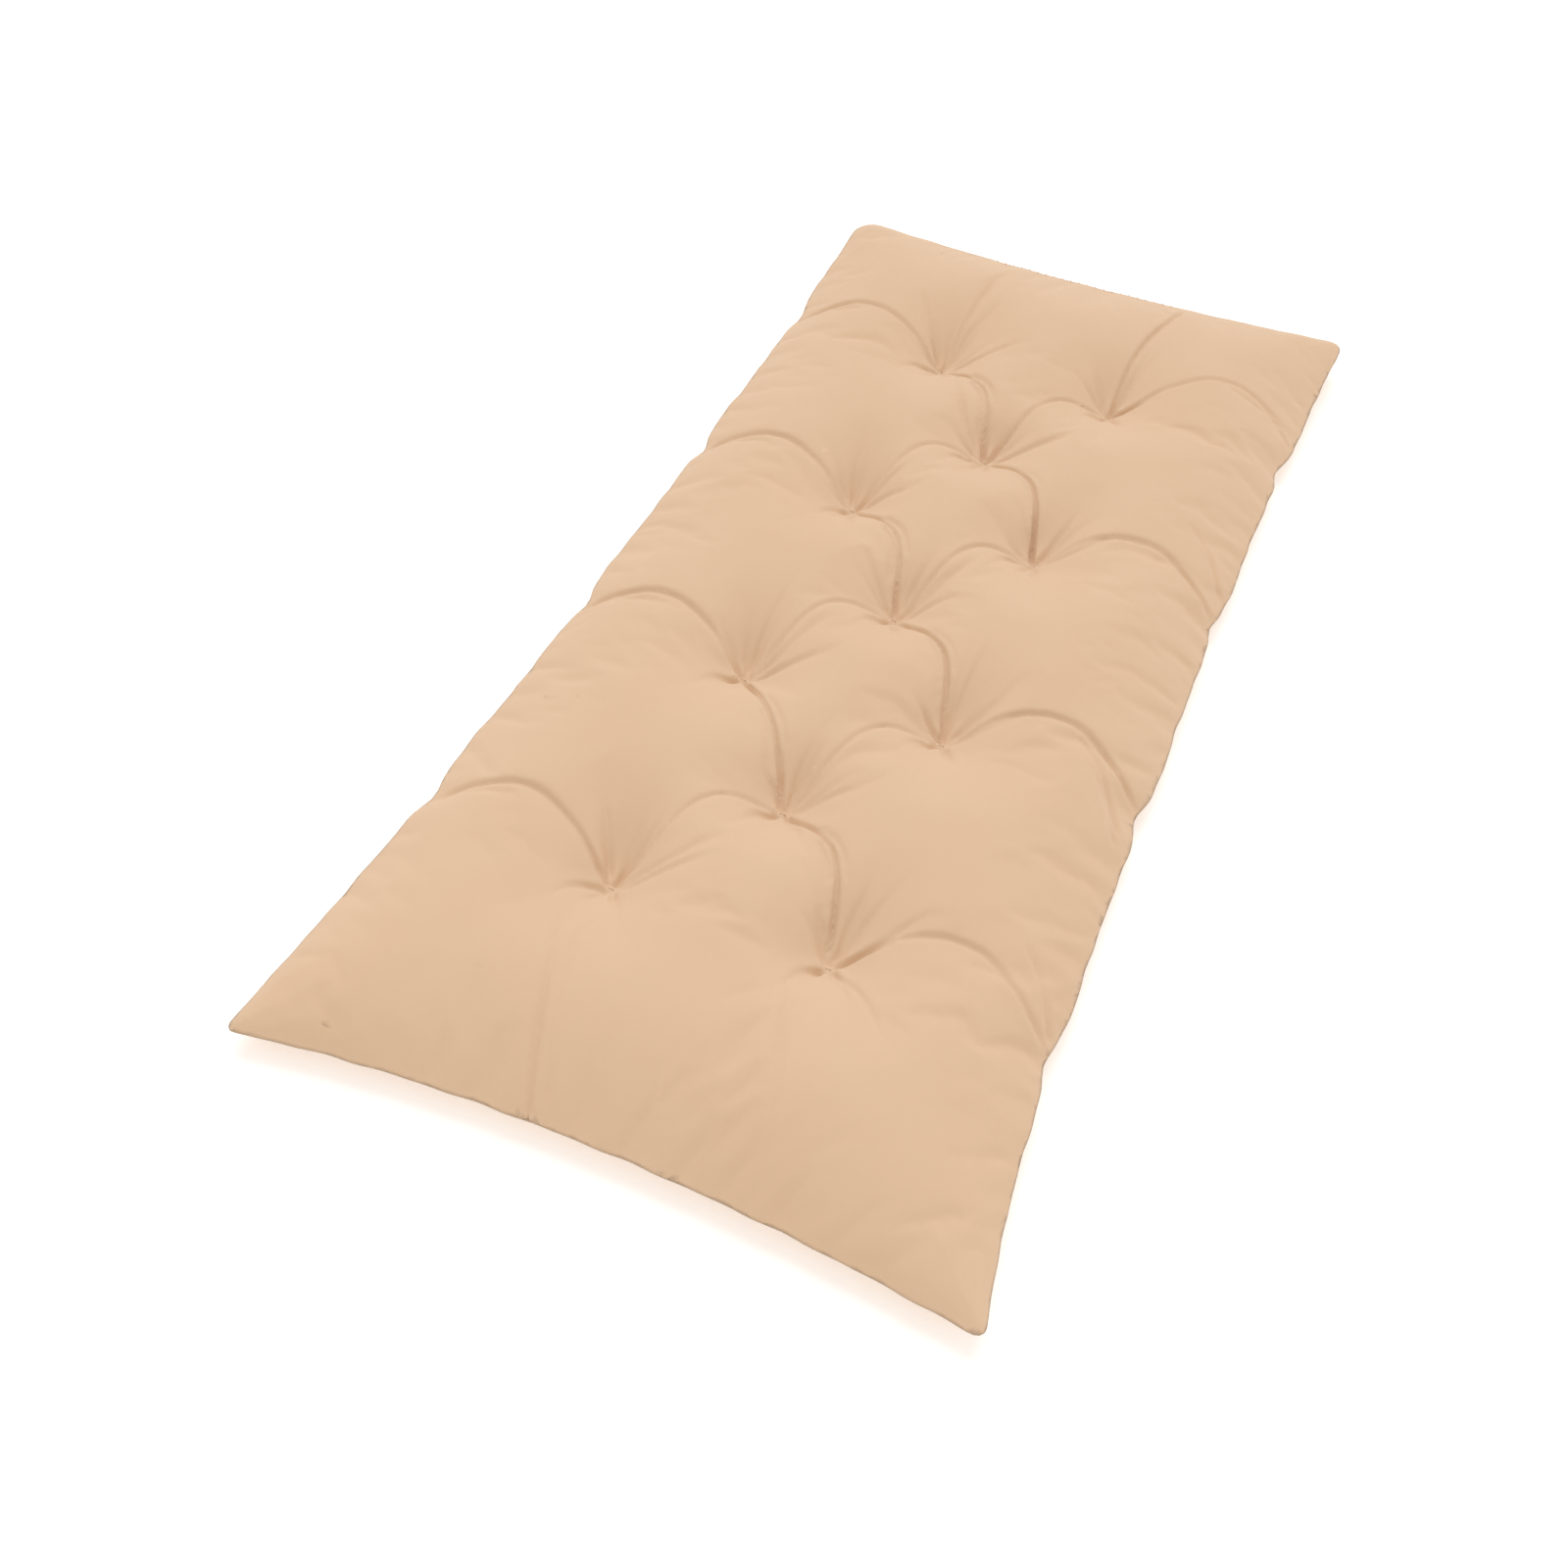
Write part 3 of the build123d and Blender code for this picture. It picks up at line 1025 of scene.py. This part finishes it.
        bpy.data.meshes.remove(mesh)
        grown.name = name

    def build(self, finish: ClothFinish) -> list:
        """Args:
            finish: The cloth that both panels are cut from.

        Returns:
            The top panel and the bottom panel.
        """
        top_points = self.settle()
        bottom_points = self.underside(top_points)
        self.settled = {PanelSide.TOP: top_points, PanelSide.BOTTOM: bottom_points}
        material = finish.material()
        made = []
        for side, name in ((PanelSide.TOP, "top_panel"), (PanelSide.BOTTOM, "bottom_panel")):
            panel = self.panel(side, name, self.settled[side], PRESS_DEPTHS[name])
            panel.data.materials.clear()
            panel.data.materials.append(material)
            across_fold(panel, f"{name}_foot", f"{name}_head")
            made.append(panel)
            LOG.info("%s: %d faces", name, len(panel.data.polygons))
        return made


def across_fold(piece: bpy.types.Object, *nodes: str) -> None:
    """Put a piece in place of its CAD nodes: hide them and bake the piece's transform.

    Args:
        piece: The finished piece.
        nodes: The CAD nodes that it stands for.
    """
    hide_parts(*nodes)
    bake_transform(piece)


# ---- wadding --------------------------------------------------------------------------------------


@dataclass
class Wadding:
    """Three batts between the panels: soft, firm, soft."""

    cover: Cover
    stride: int = 3  # cells of the cover's net to one cell of a batt
    edge_cells: int = 3
    skin_gap: float = 0.0062
    least: float = 0.006  # thickness that is left at the edge
    layer_gap: float = 0.0006

    def surface(self, side: PanelSide) -> np.ndarray:
        """The inside of a panel, smoothed past its creases and a little way off the cloth."""
        points = self.cover.settled[side].copy()
        height = points[..., 2]
        reach = self.stride
        padded = np.pad(height, reach, mode="edge")
        best = height.copy()
        for down in range(2 * reach + 1):
            for over in range(2 * reach + 1):
                patch = padded[down:down + height.shape[0], over:over + height.shape[1]]
                best = np.minimum(best, patch) if side is PanelSide.TOP else np.maximum(best, patch)
        points[..., 2] = best - side.value * self.skin_gap
        points[..., 0], points[..., 1] = self.cover.x, self.cover.y
        rows = np.arange(self.edge_cells, self.cover.rows + 1 - self.edge_cells, self.stride)
        columns = np.arange(self.edge_cells, self.cover.columns + 1 - self.edge_cells, self.stride)
        return points[np.ix_(rows, columns)]

    def batt(self, name: str, low: float, high: float) -> bpy.types.Object:
        """One closed layer between two shares of the pad's thickness."""
        top, bottom = self.surface(PanelSide.TOP), self.surface(PanelSide.BOTTOM)
        middle = (top[..., 2] + bottom[..., 2]) / 2
        thickness = np.maximum(top[..., 2] - bottom[..., 2], self.least)
        bottom[..., 2] = middle - thickness / 2
        rows, columns = thickness.shape
        skins = []
        for share, gap in ((low, self.layer_gap / 2), (high, -self.layer_gap / 2)):
            skin = bottom.copy()
            skin[..., 2] = bottom[..., 2] + thickness * share + gap
            skins.append(skin.reshape(-1, 3))
        count = rows * columns
        faces = []
        for j in range(rows - 1):
            for i in range(columns - 1):
                a, b = j * columns + i, j * columns + i + 1
                c, d = b + columns, a + columns
                faces.append([d, c, b, a])
                faces.append([count + a, count + b, count + c, count + d])
        rim = list(range(columns))
        rim += [j * columns + columns - 1 for j in range(1, rows)]
        rim += [(rows - 1) * columns + i for i in range(columns - 2, -1, -1)]
        rim += [j * columns for j in range(rows - 2, 0, -1)]
        for a, b in zip(rim, rim[1:] + rim[:1]):
            faces.append([a, b, count + b, count + a])
        obj = mesh_from(name, np.vstack(skins), faces)
        finish_with(obj, "SUBSURF", levels=1, render_levels=1)
        obj.data.shade_smooth()
        return obj

    def build(self, soft: WaddingFinish, firm: WaddingFinish) -> None:
        soft_material, firm_material = soft.material(), firm.material()
        for name, low, high, material, slot, fill in (
            ("lower_batt", 0.0, 0.30, soft_material, "soft_wadding", 0.6),
            ("core_batt", 0.30, 0.70, firm_material, "firm_wadding", 0.8),
            ("upper_batt", 0.70, 1.0, soft_material, "soft_wadding", 0.6),
        ):
            obj = self.batt(name, low, high)
            obj.data.materials.append(material)
            across_fold(obj, f"{name}_foot", f"{name}_head")
            LOG.info("%s: %d faces", name, len(obj.data.polygons))


# ---- seam -----------------------------------------------------------------------------------------


@dataclass
class Seam:
    """The lock stitch round the edge, and the gap at the head end that is closed by hand."""

    cover: Cover
    stitch_line: float = 0.006
    thread_radius: float = 0.00035
    stitch_pitch: float = 0.004
    opening: float = 0.330
    closing_count: int = 22
    loop_radius: float = 0.003
    slant: float = 0.5  # radians that a hand stitch leans from square

    def edge_line(self) -> np.ndarray:
        """Points round the seam, anticlockwise from the middle of the head end."""
        points = self.cover.settled[PanelSide.TOP]
        middle = self.cover.columns // 2
        head, left, foot, right = points[-1], points[-2:0:-1, 0], points[0], points[1:-1, -1]
        return np.vstack([head[middle::-1], left, foot, right, head[:middle:-1]])

    def stitched_line(self) -> np.ndarray:
        """The seam line at even steps, stepped in to the stitches and open at the gap."""
        loop = self.edge_line()
        run = np.linalg.norm(np.diff(loop, axis=0, append=loop[:1]), axis=1)
        place = np.concatenate([[0], np.cumsum(run)])
        total = place[-1]
        count = round((total - self.opening) / self.stitch_pitch) * 2
        spots = np.linspace(self.opening / 2, total - self.opening / 2, count + 1)
        closed = np.vstack([loop, loop[:1]])
        line = np.stack([np.interp(spots, place, closed[:, k]) for k in range(3)], -1)
        way = np.gradient(line[:, :2], axis=0)
        way /= np.linalg.norm(way, axis=1)[:, None]
        line[:, 0] -= way[:, 1] * self.stitch_line
        line[:, 1] += way[:, 0] * self.stitch_line
        return line

    def build(self, finish: YarnFinish) -> None:
        """Make both machine threads and the hand stitches."""
        material = finish.material()
        cloth = self.cover.fold_in + self.cover.cloth
        for name, side in (("needle_thread", 1), ("bobbin_thread", -1)):
            line = self.stitched_line()
            dip = np.where(np.arange(len(line)) % 2 == 0, -0.0006, 0.0002)
            line[:, 2] += side * (cloth + self.thread_radius + dip)
            obj = tube(name, [line], self.thread_radius)
            obj.data.materials.append(material)
            across_fold(obj, f"{name}_foot", f"{name}_head")
            LOG.info("%s: %d faces", name, len(obj.data.polygons))
        self.close_by_hand(material)

    def close_by_hand(self, material: bpy.types.Material) -> None:
        """Whip the gap shut with slanting loops round the two folded edges."""
        edge = self.cover.settled[PanelSide.TOP][-1]
        pitch = self.opening / self.closing_count
        loops = []
        for number in range(self.closing_count):
            x = (number + 0.5) * pitch - self.opening / 2
            y = float(np.interp(x, edge[:, 0], edge[:, 1]))
            z = float(np.interp(x, edge[:, 0], edge[:, 2]))
            deselect_all()
            bpy.ops.mesh.primitive_torus_add(
                location=(x, y - 0.7 * self.loop_radius, z),
                rotation=(0, math.pi / 2, self.slant),
                major_segments=20,
                minor_segments=8,
                major_radius=self.loop_radius,
                minor_radius=self.thread_radius,
            )
            loop = bpy.context.object
            loop.data.transform(loop.matrix_world)
            loop.matrix_world = Matrix.Identity(4)
            loops.append(loop)
        make_active(loops[0])
        for loop in loops:
            loop.select_set(True)
        bpy.ops.object.join()
        obj = bpy.context.object
        obj.name = obj.data.name = "hand_stitches"
        obj.data.shade_smooth()
        obj.data.materials.clear()
        obj.data.materials.append(material)
        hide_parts("closing_stitches")
        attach(obj, HEAD)
        LOG.info("hand_stitches: %d loops", self.closing_count)


# ---- tuft ties ------------------------------------------------------------------------------------


@dataclass
class TuftTies:
    """Loops of two-ply twine through the pad, each knotted underneath."""

    cover: Cover
    twine: float = 0.00075
    spacing: float = 0.008
    knot_size: float = 0.0019
    tail: float = 0.009
    twist_pitch: float = 0.0042
    twist_steps: int = 8  # points of a ply to each twist
    ply_offset: float = 0.48  # from the twine's middle, in twine thicknesses
    ply_radius: float = 0.52
    knot_radius: float = 0.8
    loop_end: float = field(init=False)
    knot_z: float = field(init=False)

    def __post_init__(self) -> None:
        """Find how low the loop's ends and the knot sit in the dimple."""
        self.loop_end = self.cover.dimple_z - 1.6 * self.twine
        self.knot_z = self.loop_end - 0.9 * self.knot_size

    def strands(self, route: np.ndarray) -> list:
        """Two plies wound round a route.

        Args:
            route: Points along the middle of the twine.

        Returns:
            The middle line of each ply.
        """
        run = np.concatenate([[0], np.cumsum(np.linalg.norm(np.diff(route, axis=0), axis=1))])
        spots = np.arange(0, run[-1], self.twist_pitch / self.twist_steps)
        line = np.stack([np.interp(spots, run, route[:, k]) for k in range(3)], -1)
        way = np.gradient(line, axis=0)
        way /= np.linalg.norm(way, axis=1)[:, None]
        side = np.cross(way, (0.0, 1.0, 0.0))
        side /= np.linalg.norm(side, axis=1)[:, None]
        third = np.cross(way, side)
        plies = []
        for phase in (0.0, math.pi):
            turn = 2 * math.pi * spots / self.twist_pitch + phase
            sway = side * np.cos(turn)[:, None] + third * np.sin(turn)[:, None]
            plies.append(line + sway * self.twine * self.ply_offset)
        return plies

    def route(self) -> np.ndarray:
        """The loop: up one leg, over the bar on the top panel and down the other leg."""
        top = self.cover.pit_z - 0.1 * self.twine
        low = self.loop_end
        half, corner = self.spacing / 2, 2 * self.twine
        points = [(0.0, low)]
        for side, height, swap in ((1, low, False), (1, top, True), (-1, top, False), (-1, low, True)):
            inner = -1 if height == top else 1
            arc = np.linspace(0, math.pi / 2, 6)
            bend_x = side * (half - corner + corner * np.sin(arc))
            bend_z = height + inner * (corner - corner * np.cos(arc))
            bend = list(zip(bend_x, bend_z))
            points += bend[::-1] if swap else bend
        points.append((0.0, low))
        return np.array([(x, 0.0, z) for x, z in points])

    def knot(self) -> np.ndarray:
        """A closed overhand knot that hangs under the crossing of the legs."""
        turn = np.linspace(0, 2 * math.pi, 72, endpoint=False)
        size = self.knot_size / 3
        x = size * (np.sin(turn) + 2 * np.sin(2 * turn))
        y = size * (np.cos(turn) - 2 * np.cos(2 * turn))
        return np.stack([x, y, self.knot_z - 0.9 * size * np.sin(3 * turn)], -1)

    def tails(self) -> list:
        """The two cut ends that lie beside the knot."""
        ends = []
        for side in (-1, 1):
            reach = np.linspace(0.0, self.tail, 9)
            sag = 0.0012 * (reach / self.tail) ** 2
            wave = 0.0008 * side * np.sin(reach * 400)
            ends.append(np.stack([side * reach, wave, self.knot_z - sag], -1))
        return ends

    def build(self, finish: YarnFinish) -> None:
        """Make one tie and set a copy of it at every tuft."""
        material = finish.material()
        plies = self.strands(self.route())
        for end in self.tails():
            plies += self.strands(end)
        pattern = tube("twine_loop", plies, self.twine * self.ply_radius)
        knot = tube("twine_knot", [self.knot()], self.twine * self.knot_radius, closed=True)
        make_active(pattern)
        knot.select_set(True)
        bpy.ops.object.join()
        for node in TIE_NODES:
            low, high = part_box(node)
            place = (low + high) / 2
            obj = new_object(node.replace("tuft_tie", "twine_tie"), pattern.data.copy())
            obj.data.transform(Matrix.Translation((place.x, place.y, 0)))
            obj.data.materials.append(material)
            if abs(place.y - FOLD_LINE.y) < FOLD_REACH:
                across_fold(obj, node)
            else:
                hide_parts(node)
                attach(obj, FOOT if place.y < FOLD_LINE.y else HEAD)
        bpy.data.objects.remove(pattern)
        LOG.info("twine ties: %d", len(TIE_NODES))


# ---- studio ---------------------------------------------------------------------------------------


@dataclass
class Studio:
    """A white floor that glows a little, soft light and the camera."""

    azimuth: float = 20.8
    elevation: float = 48.4
    roll: float = 3.2
    distance: float = 2.266
    aim: tuple = (-0.029, -0.321, 0.0)
    lens: float = 39.6
    sensor: float = 36.0
    sun_place: tuple = (-0.6, 2.0, 2.4)
    sun_strength: float = 1.12
    sun_spread: float = 46.0  # degrees
    sun_colour: tuple = (0.94, 1.0, 1.10)
    air_colour: tuple = (1.0, 0.95, 0.89, 1.0)
    air_strength: float = 0.79
    floor_glow: float = 0.30

    def floor(self) -> None:
        """A wide plain floor, bright enough that only a faint contact shadow shows."""
        deselect_all()
        bpy.ops.mesh.primitive_plane_add(size=160, location=(0, 0, -0.0005))
        obj = bpy.context.object
        obj.name = "studio_floor"
        bench = Bench("studio_floor")
        bench.dress(
            Base_Color=(0.93, 0.93, 0.93, 1.0),
            Roughness=0.9,
            Specular_IOR_Level=0.1,
            Emission_Color=(0.96, 0.98, 1.0, 1.0),
            Emission_Strength=self.floor_glow,
        )
        obj.data.materials.append(bench.material)

    def sun(self) -> None:
        """A broad soft light from behind the head end."""
        data = bpy.data.lights.new("soft_light", "SUN")
        data.energy = self.sun_strength
        data.color = self.sun_colour
        data.angle = math.radians(self.sun_spread)
        obj = bpy.data.objects.new("soft_light", data)
        bpy.context.scene.collection.objects.link(obj)
        obj.location = self.sun_place
        obj.rotation_euler = (-Vector(self.sun_place)).to_track_quat("-Z", "Y").to_euler()

    def air(self) -> None:
        """Even light from all round."""
        world = bpy.data.worlds.new("studio_air")
        bpy.context.scene.world = world
        world.use_nodes = True
        background = world.node_tree.nodes["Background"]
        background.inputs["Color"].default_value = self.air_colour
        background.inputs["Strength"].default_value = self.air_strength

    def camera(self) -> None:
        """The camera, from above and in front of the foot end."""
        data = bpy.data.cameras.new("camera")
        data.sensor_width = self.sensor
        data.lens = self.lens
        obj = bpy.data.objects.new("camera", data)
        bpy.context.scene.collection.objects.link(obj)
        turn, rise = math.radians(self.azimuth), math.radians(self.elevation)
        back = Vector((math.sin(turn) * math.cos(rise), -math.cos(turn) * math.cos(rise), math.sin(rise)))
        facing = back.to_track_quat("Z", "Y").to_matrix().to_4x4()
        facing = facing @ Matrix.Rotation(math.radians(self.roll), 4, "Z")
        obj.matrix_world = Matrix.Translation(Vector(self.aim) + back * self.distance) @ facing
        bpy.context.scene.camera = obj

    def build(self) -> None:
        """Set up everything round the pad."""
        self.camera()
        self.floor()
        self.air()
        self.sun()
        bpy.context.scene.view_settings.view_transform = "Standard"


def main() -> None:
    """Build the mattress and the studio."""
    logging.basicConfig(level=logging.INFO, format="%(message)s")
    Studio().build()
    low, high = CAD_BOX
    tufts = []
    for node in TIE_NODES:
        corner, far_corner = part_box(node)
        middle = (corner + far_corner) / 2
        tufts.append((middle.x, middle.y))
    outline = Outline((high.x - low.x) / 2, (high.y - low.y) / 2)
    cover = Cover(outline, CreasePlan(tufts))
    cover.build(ClothFinish())
    Wadding(cover).build(
        WaddingFinish("soft_wadding", (0.93, 0.91, 0.86), (0.85, 0.82, 0.76)),
        WaddingFinish("firm_wadding", (0.86, 0.84, 0.79), (0.74, 0.71, 0.65), 90.0),
    )
    Seam(cover).build(YarnFinish("sewing_thread", (0.72, 0.50, 0.33), (0.62, 0.41, 0.26)))
    TuftTies(cover).build(YarnFinish("tuft_twine", (0.74, 0.53, 0.35), (0.60, 0.41, 0.26), 1800.0))


if __name__ == "__main__":
    main()
